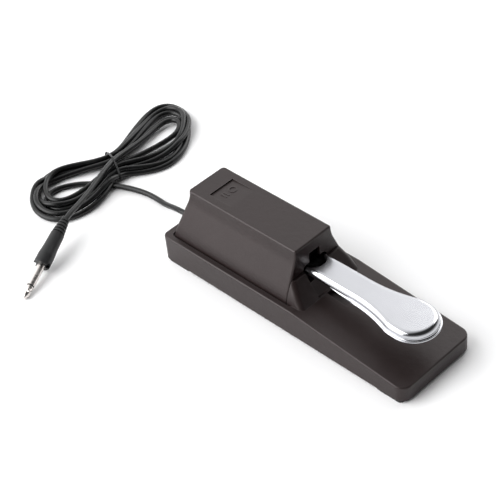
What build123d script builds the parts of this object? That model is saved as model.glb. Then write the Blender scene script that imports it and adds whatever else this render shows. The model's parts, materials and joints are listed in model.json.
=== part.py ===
from build123d import *
import os
from math import asin, cos, pi, radians, sin, tan

# Sustain pedal: a weighted plastic base, a flared cover, a chromed lever and a corded jack plug.
#
# Millimetres.  +X runs forward to the paddle, +Y to the left of a player, +Z up.
# The origin is on the floor under the middle of the base.

# ---- driving dimensions --------------------------------------------------------------------------
BASE_LENGTH = 240.0
BASE_WIDTH = 74.0
FOOT_HEIGHT = 2.0
DECK_Z = 24.3              # level deck, from the back to the kink
KINK_X = 14.5              # in front of it the deck slopes down
FRONT_EDGE_Z = 14.3
DECK_THICKNESS = 3.3
BASE_WALL = 2.6
RIM_ROUND = 1.2
REAR_CORNER = 5.0
FRONT_CORNER = 8.0
POCKET = (21.0, 39.5, -4.5, 4.5)         # recess in the sloping deck: two ends in x, two in y
POCKET_DEPTH = 4.0
POCKET_WALL = 1.5
COVER_BOSSES = [(x, y) for x in (-97.0, -20.0) for y in (-21.0, 21.0)]
PLATE_BOSSES = [(x, y) for x in (-108.0, 0.0, 108.0) for y in (-27.0, 27.0)]
FOOT_STRIPS = [(93.5, 117.0), (-117.0, -93.5)]

COVER_TOP_Z = 64.4
COVER_FRONT_X = 6.4
COVER_FOOT_Z = 22.8        # the cover stands in a groove of the deck
COVER_WALL = 2.2
FLARE_BEND = 28.0          # radius of the soft bends in the flared sides
SIDE_FLARE = [(18.66, COVER_TOP_Z), (19.25, 56.7), (30.1, 30.6), (31.6, COVER_FOOT_Z)]   # half width, z
BACK_FLARE = [(-103.9, COVER_TOP_Z), (-104.1, 56.5), (-113.4, COVER_FOOT_Z)]            # x, z
GROOVE_WIDTH = 1.0
RECESS = (-87.3, -64.3, 11.9)            # back, front, half width of the ramped recess on the top
RECESS_DEPTH = 1.1
MARK_X = -78.5             # middle of the plain ring and bars in the recess
MARK_LIFT = 0.25           # they stay this far below the top
PEDESTAL_TOP_Z = 41.0
PEDESTAL_TOP_X = 8.3       # the pedestal's front face starts here and slopes down to the deck
PEDESTAL_FOOT_X = 20.7

SLOT_HALF_WIDTH = 12.4
SLOT_FLOOR_Z = 33.6
SLOT_TOP_Z = 45.9
NOTCH_HALF_WIDTH = 5.5
NOTCH_TOP_Z = 54.2

PIVOT_X = -42.0
PIVOT_Z = 42.0
LEVER_ANGLE = 6.5          # degrees of travel at the pivot
LEVER_TOP_Z = 45.2
LEVER_UNDER_Z = 40.0       # underside of the bar
LIP_TOP_Z = 39.4
LIP_UNDER_Z = 38.2
PADDLE_X = 98.1            # middle of the round paddle
PADDLE_RADIUS = 18.3
PADDLE_STRETCH = 4.6       # the disc is this much longer than wide
NECK_RADIUS = 110.0        # soft hollows between the bar and the disc
EDGE_ROLL = 4.0
LIP_WIDTH = 1.7
LIP_START_X = 22.0
LIP_FULL_X = 58.0          # the lip grows from nothing to its full width here
LIP_HOLLOW = 1.2           # radius between the side wall and the lip
CAVITY_X = 26.0
SCOOP_X = 5.0              # shallow round dish where the bar enters the cover
SCOOP_RADIUS = 10.2
SCOOP_DEPTH = 3.2
DOWN_PAD_Z = 34.8
BAR_HALF_WIDTH = 11.1
TAIL_HALF_WIDTH = 9.0
TAIL_X = -62.0
LEVER_SKIN = 1.8
SHAFT_RADIUS = 3.0
BUSH_RADIUS = 4.2
HUB_RADIUS = 6.5
HUB_HALF_WIDTH = 10.0
BRACKET_X = (-52.0, -31.0)
BRACKET_STEEL = 1.5
EAR_Y = HUB_HALF_WIDTH + 1.3
EAR_HALF_LENGTH = 7.0
CLIP_THICKNESS = 0.7
CLIP_GROOVE = 0.5
UP_PAD_X = (-13.6, -8.0)
UP_PAD_Y = 8.0
UP_PAD_THICKNESS = 1.8

SPRING_X = -16.0
SPRING_SEAT_Z = 27.0
SPRING_RADIUS = 4.0
SPRING_WIRE = 1.0
SPRING_TURNS = 6

SWITCH_X = -59.1           # middle of the snap switch
PLUNGER_X = -55.0
SWITCH_LENGTH = 19.8
SWITCH_THICKNESS = 6.4
SWITCH_HEIGHT = 10.2
SWITCH_TOP_Z = 38.4
SWITCH_SCREW_X = 4.75      # from the switch's middle
SWITCH_SCREW_Z = SWITCH_TOP_Z - 7.6
SWITCH_WALL = 2.6          # thickness of the wall that carries the switch

POLARITY_X = -70.0
POLARITY_TRAVEL = 3.0
POLARITY_SCREW_X = 9.5     # from the slide switch's middle
PLATE_THICKNESS = 1.5

CORD_DIAMETER = 4.5
CORD_EXIT_Z = 13.0
CORD_HOLE_RADIUS = 4.0
RELIEF_LENGTH = 15.0       # outside the back wall
RELIEF_FLANGE = (5.4, 1.4)     # radius, thickness
RELIEF_RADII = (4.3, 3.0)      # of the taper at the flange and at its end
RELIEF_RIBS = 5
CLAMP_X = -106.0
CLAMP_POST_Y = 8.0
INNER_END_X = -98.0        # where the jacket ends inside the base

LEAD_ROUTE = [(-135.0, 0, CORD_EXIT_Z), (-142.5, 0.2, 12.4), (-150.5, 1.6, 9.6), (-158.5, 3.4, 5.9),
              (-166.5, 5.0, 3.2), (-175.0, 6.0, 2.35), (-184.5, 5.9, 2.32), (-194.5, 4.2, 2.3),
              (-204.5, 1.0, 2.3), (-214.0, -3.0, 2.3)]
TAIL_TURNS = [(-201.6, -61.5, 18.4), (-206.5, -48.5, 16.8), (-213.5, -32.0, 15.2), (-221.3, -15.5, 14.2),
              (-228.0, -1.0, 13.4)]
HANK_WAIST = (-234.5, 11.0)
HANK_LEAN = -8.0           # degrees from +Y
WAIST_SIZE = (24.0, 26.0, 14.6)
FAR_LOBE = [(-247, 22), (-252, 38), (-260, 54), (-267, 71), (-271, 87), (-265, 99), (-251, 102),
            (-235, 97), (-219, 86), (-206, 71), (-198, 53), (-199, 36), (-210, 20)]
FAR_HEIGHT = 10.0
NEAR_LOBE = [(-247, 10), (-257, -2), (-267, -12), (-275, -24), (-277, -38), (-270, -53), (-257, -65),
             (-240, -71), (-223, -70), (-211, -60), (-207, -45), (-207, -30), (-211, -14), (-219, 2)]
NEAR_HEIGHT = 11.0
FLOOR_GAP = 0.05
TIE_RADIUS = 0.8
TIE_LEAN = -23.0           # the tie crosses the waist a little askew
TIE_TOP_Z = 15.4

PLUG_TIP = (-168.8, -138.6, 2.1)
PLUG_LINE = (-0.386, 0.899, 0.205)       # from the tip towards the cord
PLUG_ACROSS = (0.899, 0.386, 0.0)
PLUG_SHAFT_RADIUS = 3.17
PLUG_TIP_RADIUS = 2.95
PLUG_PIN_RADIUS = 1.2
PLUG_ROOT_RADIUS = 2.6     # the sleeve's root, moulded into the barrel
PLUG_ROOT = 6.0
PLUG_RING = (10.8, 11.9)   # both ends of the insulating ring, from the tip
PLUG_METAL = 31.5          # bare metal in front of the barrel
PLUG_BARREL = 31.0
PLUG_RIBS = 5
PLUG_RIB_PITCH = 3.0

HALF_LENGTH = BASE_LENGTH / 2
HALF_WIDTH = BASE_WIDTH / 2
DECK_UNDER_Z = DECK_Z - DECK_THICKNESS
CORD_RADIUS = CORD_DIAMETER / 2
PLATE_TOP_Z = FOOT_HEIGHT + PLATE_THICKNESS
SWITCH_LOW_Z = SWITCH_TOP_Z - SWITCH_HEIGHT
CLAMP_LOW_Z = CORD_EXIT_Z - CORD_RADIUS - 2.0
PLUG_END = PLUG_METAL + PLUG_BARREL + PLUG_RIBS * PLUG_RIB_PITCH


# ---- helpers -------------------------------------------------------------------------------------
def block(x0, x1, y0, y1, z0, z1):
    """A box between two corners."""
    size = Box(x1 - x0, y1 - y0, z1 - z0)
    return Pos((x0 + x1) / 2, (y0 + y1) / 2, (z0 + z1) / 2) * size


def rod_z(x, y, z0, z1, radius):
    """A round bar that stands up."""
    return Pos(x, y, (z0 + z1) / 2) * Cylinder(radius, z1 - z0)


def rod_y(x, y0, y1, z, radius):
    """A round bar across the pedal."""
    return Pos(x, (y0 + y1) / 2, z) * Rot(90, 0, 0) * Cylinder(radius, y1 - y0)


def rod_x(x0, x1, y, z, radius):
    """A round bar along the pedal."""
    return Pos((x0 + x1) / 2, y, z) * Rot(0, 90, 0) * Cylinder(radius, x1 - x0)


def prism_y(points, half_width):
    """A closed outline in x and z, extruded across the pedal."""
    face = make_face(Plane.XZ * Polyline(*points, close=True))
    return extrude(face, half_width, both=True)


def screw_up(x, y, head_z, length, shank, head, head_height):
    """A pan-head screw driven upwards, its head under head_z."""
    body = rod_z(x, y, head_z, head_z + length, shank)
    low = head_z - head_height
    cap = rod_z(x, y, low, head_z, head)
    cap = fillet(cap.edges().group_by(Axis.Z)[0], head_height * 0.45)
    wide, narrow = head * 0.6, 0.3
    for half_x, half_y in ((wide, narrow), (narrow, wide)):
        cap -= block(x - half_x, x + half_x, y - half_y, y + half_y, low, low + head_height / 2)
    return body + cap


def flared_side(inset):
    """The cover's cross-section, pulled in by inset on its sides and top."""
    points = [(y - inset, z) for y, z in SIDE_FLARE]
    points[0] = (points[0][0], COVER_TOP_Z - inset)
    right = FilletPolyline(*points, radius=FLARE_BEND)
    left = mirror(right, Plane.YZ)
    top = Line((-points[0][0], points[0][1]), points[0])
    foot = Line((-points[-1][0], points[-1][1]), points[-1])
    return make_face(Plane.YZ * (Curve() + right + left + top + foot))


def flared_back(inset, front):
    """The cover's outline from the side, pulled in by inset at its back and top."""
    points = [(x + inset, z) for x, z in BACK_FLARE]
    points[0] = (points[0][0], COVER_TOP_Z - inset)
    back = FilletPolyline(*points, radius=FLARE_BEND)
    rest = Polyline(points[-1], (front, COVER_FOOT_Z), (front, points[0][1]), points[0])
    return make_face(Plane.XZ * (Curve() + back + rest))


def flared_body(inset, front):
    """The cover's solid outer shape, or with an inset its hollow."""
    along = extrude(Pos(-130, 0, 0) * flared_side(inset), 130 + front, dir=(1, 0, 0))
    across = extrude(flared_back(inset, front), HALF_WIDTH, both=True)
    return along & across


def at_deck(x):
    """Height of the deck's top at x."""
    slope = (DECK_Z - FRONT_EDGE_Z) / (HALF_LENGTH - KINK_X)
    return DECK_Z - max(0.0, x - KINK_X) * slope


# ---- base ----------------------------------------------------------------------------------------
def base_outline():
    """The tray as a full wedge with rounded corners."""
    side = [(-HALF_LENGTH, FOOT_HEIGHT), (HALF_LENGTH, FOOT_HEIGHT), (HALF_LENGTH, FRONT_EDGE_Z),
            (KINK_X, DECK_Z), (-HALF_LENGTH, DECK_Z)]
    wedge = prism_y(side, HALF_WIDTH)
    upright = wedge.edges().filter_by(Axis.Z)
    wedge = fillet(upright.filter_by(lambda e: e.center().X < 0), REAR_CORNER)
    upright = wedge.edges().filter_by(Axis.Z)
    wedge = fillet(upright.filter_by(lambda e: e.center().X > HALF_LENGTH - 1), FRONT_CORNER)
    rim = wedge.edges().filter_by(lambda e: e.center().Z > FRONT_EDGE_Z - 0.5 and not on_kink(e))
    return fillet(rim, RIM_ROUND)


def on_kink(edge):
    """True for the edge across the deck where it starts to slope, and for upright corner edges."""
    box = edge.bounding_box()
    across = box.size.Y > BASE_WIDTH - 5 and abs(box.center().X - KINK_X) < 1
    return across or (box.size.Z > 5 and box.size.X < 3)


def base_hollow():
    """The space inside the tray, open at the bottom."""
    x_end = HALF_LENGTH - BASE_WALL
    side = [(-x_end, 0), (x_end, 0), (x_end, FRONT_EDGE_Z - DECK_THICKNESS),
            (KINK_X, DECK_UNDER_Z), (-x_end, DECK_UNDER_Z)]
    hollow = prism_y(side, HALF_WIDTH - BASE_WALL)
    return fillet(hollow.edges().filter_by(Axis.Z), 3.5)


def pedestal():
    """The block in front of the cover that carries its lines down to the deck."""
    body = extrude(Pos(COVER_FRONT_X + 0.3, 0, 0) * flared_side(0), 20.0, dir=(1, 0, 0))
    foot_x = slope_x(COVER_FOOT_Z)
    wedge = prism_y([(0, COVER_FOOT_Z), (foot_x, COVER_FOOT_Z), (PEDESTAL_TOP_X, PEDESTAL_TOP_Z),
                     (0, PEDESTAL_TOP_Z)], HALF_WIDTH)
    body = body & wedge
    front = body.faces().sort_by(Axis.X)[-1]
    flanks = front.edges().filter_by(lambda e: e.bounding_box().size.Z > 3)
    body = fillet(flanks, 5.0)
    tongue = Pos(-6.5, 0, 0) * flared_side(COVER_WALL + 0.3)
    tongue = extrude(tongue, COVER_FRONT_X + 7.1, dir=(1, 0, 0))
    inside = block(1.5, COVER_FRONT_X + 1, -HALF_WIDTH, HALF_WIDTH, COVER_FOOT_Z, PEDESTAL_TOP_Z - 0.3)
    ledge_y = SLOT_HALF_WIDTH + 2
    ledge = block(-6.5, 2, -ledge_y, ledge_y, COVER_FOOT_Z, SLOT_FLOOR_Z)
    return body + (tongue & inside) + ledge


def slope_x(z):
    """Where the pedestal's sloping front is at a height."""
    fall = (PEDESTAL_FOOT_X - PEDESTAL_TOP_X) / (PEDESTAL_TOP_Z - DECK_Z)
    return PEDESTAL_TOP_X + (PEDESTAL_TOP_Z - z) * fall


def lever_channel():
    """The slot through the pedestal that the lever swings down in."""
    depth = 2.6
    side = [(-8, SLOT_FLOOR_Z), (slope_x(SLOT_FLOOR_Z + depth), SLOT_FLOOR_Z),
            (slope_x(DECK_Z + depth), DECK_Z), (34, DECK_Z), (34, 60), (-8, 60)]
    return prism_y(side, SLOT_HALF_WIDTH)


def pocket_walls():
    """A shallow tray under the deck that closes the pocket."""
    x0, x1, y0, y1 = POCKET
    wall = POCKET_WALL
    floor = at_deck(x0) - POCKET_DEPTH
    low = floor - wall
    walls = block(x0 - wall, x1 + wall, y0 - wall, y1 + wall, low, floor)
    walls += block(x0 - wall, x0, y0 - wall, y1 + wall, low, at_deck(x0) - 2)
    walls += block(x1, x1 + wall, y0 - wall, y1 + wall, low, at_deck(x1) - 2)
    walls += block(x0, x1, y0 - wall, y0, low, at_deck(x1) - 1.5)
    walls += block(x0, x1, y1, y1 + wall, low, at_deck(x1) - 1.5)
    return walls


def screw_holes():
    """All the holes for screws in the tray, as one set of bars."""
    holes = [rod_z(x, y, 10, DECK_Z + 1, 1.75) for x, y in COVER_BOSSES]
    holes += [rod_z(x, y, 0, FOOT_HEIGHT + 9.0, 1.25) for x, y in PLATE_BOSSES]
    holes += [rod_z(x, y, 10, DECK_Z + 1, 1.25) for x, y in bracket_screw_places()]
    holes += [rod_y(x, 0, SWITCH_THICKNESS / 2 + 3, z, 1.0) for x, z in switch_screw_places()]
    holes += [rod_z(CLAMP_X, y, 5, DECK_UNDER_Z - 1, 1.0) for y in (-CLAMP_POST_Y, CLAMP_POST_Y)]
    return holes


def base_tray():
    """Moulded tray: deck, rim, groove, pedestal, posts and bosses."""
    tray = base_outline() - base_hollow()
    foot = SIDE_FLARE[-1][0] + GROOVE_WIDTH
    groove = block(BACK_FLARE[-1][0] - GROOVE_WIDTH, 12.0, -foot, foot, COVER_FOOT_Z, DECK_Z + 5)
    groove = fillet(groove.edges().filter_by(Axis.Z), 4.0)
    tray = tray - groove + (pedestal() - lever_channel())
    tray -= block(*POCKET, at_deck(POCKET[0]) - POCKET_DEPTH, DECK_Z + 2)
    tray += pocket_walls()
    tray += rod_z(SPRING_X, 0, COVER_FOOT_Z - 1, SPRING_SEAT_Z, 5.5)
    tray += rod_z(SPRING_X, 0, SPRING_SEAT_Z - 1, SPRING_SEAT_Z + 2.0, 2.6)
    wall_y = SWITCH_THICKNESS / 2
    tray += block(SWITCH_X - 9.5, SWITCH_X + 6.6, wall_y, wall_y + SWITCH_WALL,
                  COVER_FOOT_Z - 1, SWITCH_TOP_Z - 0.6)
    for x, y in PLATE_BOSSES:
        tray += rod_z(x, y, PLATE_TOP_Z, at_deck(x) - 1.5, 4.0)
    for y in (-CLAMP_POST_Y, CLAMP_POST_Y):
        tray += rod_z(CLAMP_X, y, CORD_EXIT_Z + 1.0, DECK_UNDER_Z + 1, 3.2)
    tray += block(CLAMP_X - 3, CLAMP_X + 3, -2, 2, CORD_EXIT_Z + CORD_RADIUS, DECK_UNDER_Z + 1)
    for hole in screw_holes():
        tray -= hole
    tray -= rod_x(-HALF_LENGTH - 1, -HALF_LENGTH + 6, 0, CORD_EXIT_Z, CORD_HOLE_RADIUS)
    tray -= block(-92.0, -84.0, -5, 5, 15, DECK_Z + 1)
    return tray


def bottom_plate():
    """Steel plate that closes the tray and weighs the pedal down."""
    gap = 0.3
    half_x = HALF_LENGTH - BASE_WALL - gap
    half_y = HALF_WIDTH - BASE_WALL - gap
    plate = block(-half_x, half_x, -half_y, half_y, FOOT_HEIGHT, PLATE_TOP_Z)
    plate = fillet(plate.edges().filter_by(Axis.Z), 3.2)
    for x, y in PLATE_BOSSES:
        plate -= rod_z(x, y, 0, 6, 1.7)
    plate -= block(POLARITY_X - 4.0, POLARITY_X + 4.0, -2.1, 2.1, 0, 6)
    for x in polarity_screw_places():
        plate -= rod_z(x, 0, 0, 6, 1.2)
    return plate


def bottom_plate_screws():
    """Six pan-head screws; those under the rubber feet sit in holes in the feet."""
    return [screw_up(x, y, FOOT_HEIGHT, 9.0, 1.2, 2.7, 1.4) for x, y in PLATE_BOSSES]


def foot_strip(x0, x1):
    """A rubber strip across the underside, with holes for the screw heads."""
    half = HALF_WIDTH - 0.5
    strip = block(x0, x1, -half, half, 0, FOOT_HEIGHT)
    strip = fillet(strip.edges().filter_by(Axis.Z), 3.0)
    strip = fillet(strip.edges().group_by(Axis.Z)[0], 0.5)
    for x, y in PLATE_BOSSES:
        strip -= rod_z(x, y, -1, FOOT_HEIGHT + 1, 3.0)
    return strip


# ---- cover ---------------------------------------------------------------------------------------
def recess():
    """A ramp cut in the top that is deepest at the back and fades out in front."""
    back, front, half = RECESS
    above = COVER_TOP_Z + 1
    return prism_y([(back, COVER_TOP_Z - RECESS_DEPTH), (front, COVER_TOP_Z), (front, above),
                    (back, above)], half)


def mark():
    """A plain raised ring and two bars in the recess."""
    low = COVER_TOP_Z - RECESS_DEPTH - 0.6
    high = COVER_TOP_Z - MARK_LIFT
    ring = rod_z(MARK_X, 3.6, low, high, 3.4) - rod_z(MARK_X, 3.6, low - 1, high + 1, 2.5)
    bars = [block(MARK_X - 3, MARK_X + 3, y, y + 1.0, low, high) for y in (-3.6, -6.2)]
    return [ring] + bars


def cover_shell():
    """The cover's rounded outside with its hollow taken out."""
    outer = flared_body(0, COVER_FRONT_X)
    upright = outer.edges().filter_by(lambda e: e.bounding_box().size.Z > 5)
    outer = fillet(upright.filter_by(lambda e: e.center().X < 0), 3.2)
    upright = outer.edges().filter_by(lambda e: e.bounding_box().size.Z > 5 and e.center().X > 3)
    outer = fillet(upright, 1.6)
    rim = outer.edges().filter_by(lambda e: e.bounding_box().min.Z > COVER_TOP_Z - 0.01)
    outer = fillet(rim, 1.4)
    hollow = flared_body(COVER_WALL, COVER_FRONT_X - COVER_WALL)
    inner = SIDE_FLARE[-1][0] - COVER_WALL
    hollow += block(-100, -10, -inner, inner, COVER_FOOT_Z - 1, COVER_FOOT_Z + 0.5)
    return outer - hollow


def hollow_front():
    """The cover's inner width carried forward, to open the front below the pedestal's top."""
    return extrude(Pos(-5, 0, 0) * flared_side(COVER_WALL), 15, dir=(1, 0, 0))


def front_openings():
    """The lever's slot, the opening behind the pedestal and the notch above the lever."""
    slot = block(0, 10, -SLOT_HALF_WIDTH, SLOT_HALF_WIDTH, 0, SLOT_TOP_Z)
    slot = fillet(slot.edges().filter_by(Axis.X).group_by(Axis.Z)[-1], EDGE_ROLL)
    below = block(1.0, 10, -HALF_WIDTH, HALF_WIDTH, 0, PEDESTAL_TOP_Z) & hollow_front()
    notch = block(0, 10, -NOTCH_HALF_WIDTH, NOTCH_HALF_WIDTH, SLOT_TOP_Z - 1, NOTCH_TOP_Z)
    notch = fillet(notch.edges().filter_by(Axis.X).group_by(Axis.Z)[-1], 1.2)
    return [slot, below, notch]


def cover_posts():
    """Four screw bosses with webs to the side walls, and two ribs above the felt pads."""
    posts = []
    for x, y in COVER_BOSSES:
        boss = rod_z(x, y, DECK_Z, 47.0, 3.6)
        boss += block(x - 0.9, x + 0.9, min(y, y * 1.6), max(y, y * 1.6), DECK_Z + 1, 46.0)
        posts.append(boss & flared_body(COVER_WALL / 2, COVER_FRONT_X))
    low = LEVER_TOP_Z + UP_PAD_THICKNESS + 0.15
    for y in (-UP_PAD_Y, UP_PAD_Y):
        posts.append(block(*UP_PAD_X, y - 1.2, y + 1.2, low, COVER_TOP_Z - COVER_WALL + 0.5))
    return posts


def top_cover():
    """Hollow flared cover with the lever's slot, a notch, a marked recess and four screw bosses."""
    cover = cover_shell()
    for opening in front_openings():
        cover -= opening
    back, front, half = RECESS
    roof = COVER_TOP_Z - COVER_WALL
    cover += block(back - 1.5, front, -half - 1.5, half + 1.5, roof - 0.8, roof + 0.1)
    cover -= recess()
    for piece in mark():
        cover += piece
    for post in cover_posts():
        cover += post
    for x, y in COVER_BOSSES:
        cover -= rod_z(x, y, 0, 42.0, 1.5)
    return cover


def cover_screws():
    """Four screws driven up through the deck into the cover's bosses."""
    return [screw_up(x, y, DECK_UNDER_Z, 17.0, 1.45, 3.0, 2.0) for x, y in COVER_BOSSES]


# ---- lever and pivot -----------------------------------------------------------------------------
def lever_face(grow, back, z):
    """The lever seen from above: a bar that opens through soft hollows into a slightly long disc."""
    bar = BAR_HALF_WIDTH + grow
    disc = PADDLE_RADIUS + grow
    hollow = NECK_RADIUS - grow
    back_x = PADDLE_X - PADDLE_STRETCH
    reach = ((disc + hollow) ** 2 - (bar + hollow) ** 2) ** 0.5
    lean = asin(reach / (disc + hollow))
    neck_x = back_x - reach

    def on_hollow(angle):
        return (neck_x + hollow * sin(angle), bar + hollow - hollow * cos(angle))

    meet = on_hollow(lean)
    shoulder = (back_x - disc * sin(lean / 2), disc * cos(lean / 2))
    front = (PADDLE_X + disc * cos(pi / 4), disc * sin(pi / 4))
    upper = Curve() + [Line((back, bar), (neck_x, bar)),
                       ThreePointArc((neck_x, bar), on_hollow(lean / 2), meet),
                       ThreePointArc(meet, shoulder, (back_x, disc)),
                       Line((back_x, disc), (PADDLE_X, disc)),
                       ThreePointArc((PADDLE_X, disc), front, (PADDLE_X + disc, 0))]
    lower = mirror(upper, Plane.XZ)
    edges = upper.edges() + lower.edges() + [Line((back, -bar), (back, bar))]
    return Pos(0, 0, z) * make_face(edges)


def lip_trims():
    """What is cut off each side, so that the lip narrows to nothing towards the bar."""
    x = LIP_START_X
    outline = [(x - 1, BAR_HALF_WIDTH), (x + 8, BAR_HALF_WIDTH),
               (LIP_FULL_X, BAR_HALF_WIDTH + LIP_WIDTH + 0.25), (LIP_FULL_X, HALF_WIDTH),
               (x - 1, HALF_WIDTH)]
    trim = extrude(Pos(0, 0, LIP_UNDER_Z - 1) * make_face(Polyline(*outline, close=True)), 4)
    return trim + mirror(trim, Plane.XZ)


def lever_blade():
    """The pressed part: rolled top edges, an outward lip and a hollow underside."""
    top = extrude(lever_face(0, -4.0, LIP_UNDER_Z), LEVER_TOP_Z - LIP_UNDER_Z)
    rolled = top.edges().group_by(Axis.Z)[-1].filter_by(lambda e: e.center().X > -3.9)
    lip = extrude(lever_face(LIP_WIDTH, LIP_START_X, LIP_UNDER_Z), LIP_TOP_Z - LIP_UNDER_Z)
    lip = fillet(lip.edges().filter_by(lambda e: e.center().X > LIP_START_X + 1), 0.4)
    blade = fillet(rolled, EDGE_ROLL) + lip
    level = blade.edges().filter_by_position(Axis.Z, LIP_TOP_Z - 0.01, LIP_TOP_Z + 0.01)
    blade = fillet(level.filter_by(lambda e: e.is_interior), LIP_HOLLOW)
    taper = prism_y([(LIP_START_X - 1, LIP_UNDER_Z - 1), (LIP_START_X - 1, LEVER_UNDER_Z),
                     (LIP_START_X + 4, LEVER_UNDER_Z), (LIP_START_X + 24, LIP_UNDER_Z),
                     (LIP_START_X + 24, LIP_UNDER_Z - 1)], HALF_WIDTH)
    under = block(-80, LIP_START_X, -HALF_WIDTH, HALF_WIDTH, 30, LEVER_UNDER_Z)
    hollow = extrude(lever_face(-LEVER_SKIN, CAVITY_X, 30), LEVER_TOP_Z - LEVER_SKIN - 30)
    return blade - lip_trims() - taper - under - hollow


def pedal_lever():
    """Chromed lever: the pressed blade, a solid bar with the hub, a scoop and a spring peg."""
    bar = block(TAIL_X, -2, -TAIL_HALF_WIDTH, TAIL_HALF_WIDTH, LEVER_UNDER_Z, LEVER_TOP_Z)
    bar = fillet(bar.edges().filter_by(Axis.Z).group_by(Axis.X)[0], 2.0)
    hub = rod_y(PIVOT_X, -HUB_HALF_WIDTH, HUB_HALF_WIDTH, PIVOT_Z, HUB_RADIUS)
    lever = lever_blade() + bar + hub
    lever -= rod_y(PIVOT_X, -HUB_HALF_WIDTH - 1, HUB_HALF_WIDTH + 1, PIVOT_Z, BUSH_RADIUS)
    ball = (SCOOP_RADIUS ** 2 + SCOOP_DEPTH ** 2) / (2 * SCOOP_DEPTH)
    lever -= Pos(SCOOP_X, 0, LEVER_TOP_Z - SCOOP_DEPTH + ball) * Sphere(ball)
    return lever + rod_z(SPRING_X, 0, LEVER_UNDER_Z - 2.5, LEVER_UNDER_Z + 0.5, 2.6)


def lever_bushes():
    """Two flanged nylon bushes pressed into the lever's hub."""
    bushes = []
    for side in (-1, 1):
        inner, outer = sorted((side * 2.5, side * HUB_HALF_WIDTH))
        flange = sorted((side * HUB_HALF_WIDTH, side * (HUB_HALF_WIDTH + 1.1)))
        bush = rod_y(PIVOT_X, inner, outer, PIVOT_Z, BUSH_RADIUS)
        bush += rod_y(PIVOT_X, flange[0], flange[1], PIVOT_Z, 5.8)
        bushes.append(bush - rod_y(PIVOT_X, -20, 20, PIVOT_Z, SHAFT_RADIUS + 0.05))
    return bushes


def pivot_bracket():
    """Folded steel bracket: a foot on the deck and two ears that hold the shaft."""
    foot_y = EAR_Y + BRACKET_STEEL + 6
    bracket = block(*BRACKET_X, -foot_y, foot_y, DECK_Z, DECK_Z + BRACKET_STEEL)
    for side in (-1, 1):
        y0, y1 = sorted((side * EAR_Y, side * (EAR_Y + BRACKET_STEEL)))
        ear = block(PIVOT_X - EAR_HALF_LENGTH, PIVOT_X + EAR_HALF_LENGTH, y0, y1, DECK_Z, PIVOT_Z + 6.5)
        ear = fillet(ear.edges().filter_by(Axis.Y).group_by(Axis.Z)[-1], 6.4)
        bracket += ear
    bracket -= rod_y(PIVOT_X, -20, 20, PIVOT_Z, SHAFT_RADIUS)
    for x, y in bracket_screw_places():
        bracket -= rod_z(x, y, 20, 30, 1.6)
    return bracket


def bracket_screw_places():
    """Centres of the four screws in the bracket's foot."""
    return [(x, y) for x in (BRACKET_X[0] + 3.5, BRACKET_X[1] - 3.5) for y in (-16.6, 16.6)]


def bracket_screws():
    """Four short screws with their heads on the bracket's foot."""
    screws = []
    for x, y in bracket_screw_places():
        screw = Rot(180, 0, 0) * screw_up(0, 0, 0, 5.0, 1.2, 2.4, 1.3)
        screws.append(Pos(x, y, DECK_Z + BRACKET_STEEL) * screw)
    return screws


def pivot_shaft():
    """Ground steel shaft with a groove near each end for its clip."""
    end = EAR_Y + BRACKET_STEEL + 2.4
    shaft = rod_y(PIVOT_X, -end, end, PIVOT_Z, SHAFT_RADIUS)
    ends = shaft.edges().group_by(Axis.Y)
    shaft = chamfer(ends[0] + ends[-1], 0.4)
    for y0, y1 in clip_places():
        ring = rod_y(PIVOT_X, y0, y1, PIVOT_Z, SHAFT_RADIUS + 2)
        shaft -= ring - rod_y(PIVOT_X, y0, y1, PIVOT_Z, SHAFT_RADIUS - CLIP_GROOVE)
    return shaft


def clip_places():
    """Both clip grooves, as their ends across the pedal."""
    near = EAR_Y + BRACKET_STEEL + 0.2
    return [(-near - CLIP_THICKNESS, -near), (near, near + CLIP_THICKNESS)]


def shaft_clips():
    """Two open spring-steel clips in the shaft's grooves."""
    clips = []
    for y0, y1 in clip_places():
        clip = rod_y(PIVOT_X, y0, y1, PIVOT_Z, SHAFT_RADIUS + 1.4)
        clip -= rod_y(PIVOT_X, y0 - 1, y1 + 1, PIVOT_Z, SHAFT_RADIUS - CLIP_GROOVE)
        clips.append(clip - block(PIVOT_X - 1.9, PIVOT_X + 1.9, y0, y1, PIVOT_Z - 6, PIVOT_Z))
    return clips


def return_spring():
    """Compression spring between the deck's seat and the lever's underside."""
    height = LEVER_UNDER_Z - SPRING_SEAT_Z - SPRING_WIRE - 0.1
    path = Helix(height / SPRING_TURNS, height, SPRING_RADIUS)
    section = Plane(origin=path @ 0, z_dir=path % 0) * Circle(SPRING_WIRE / 2)
    coil = sweep(section, path=path, is_frenet=True)
    return Pos(SPRING_X, 0, SPRING_SEAT_Z + SPRING_WIRE / 2 + 0.05) * coil


def down_stop_pad():
    """Rubber pad that the bar lands on at full travel."""
    pad = block(-5.5, 1.5, -9, 9, SLOT_FLOOR_Z, DOWN_PAD_Z)
    return fillet(pad.edges().filter_by(Axis.Z), 1.0)


def up_stop_pads():
    """Two felt pads above the bar that silence its return."""
    low = LEVER_TOP_Z + 0.15
    high = low + UP_PAD_THICKNESS
    return [block(*UP_PAD_X, y - 2.2, y + 2.2, low, high) for y in (-UP_PAD_Y, UP_PAD_Y)]


# ---- switches ------------------------------------------------------------------------------------
def switch_screw_places():
    """Centres of the two screws through the snap switch, in x and z."""
    return [(SWITCH_X - SWITCH_SCREW_X, SWITCH_SCREW_Z), (SWITCH_X + SWITCH_SCREW_X, SWITCH_SCREW_Z)]


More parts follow.
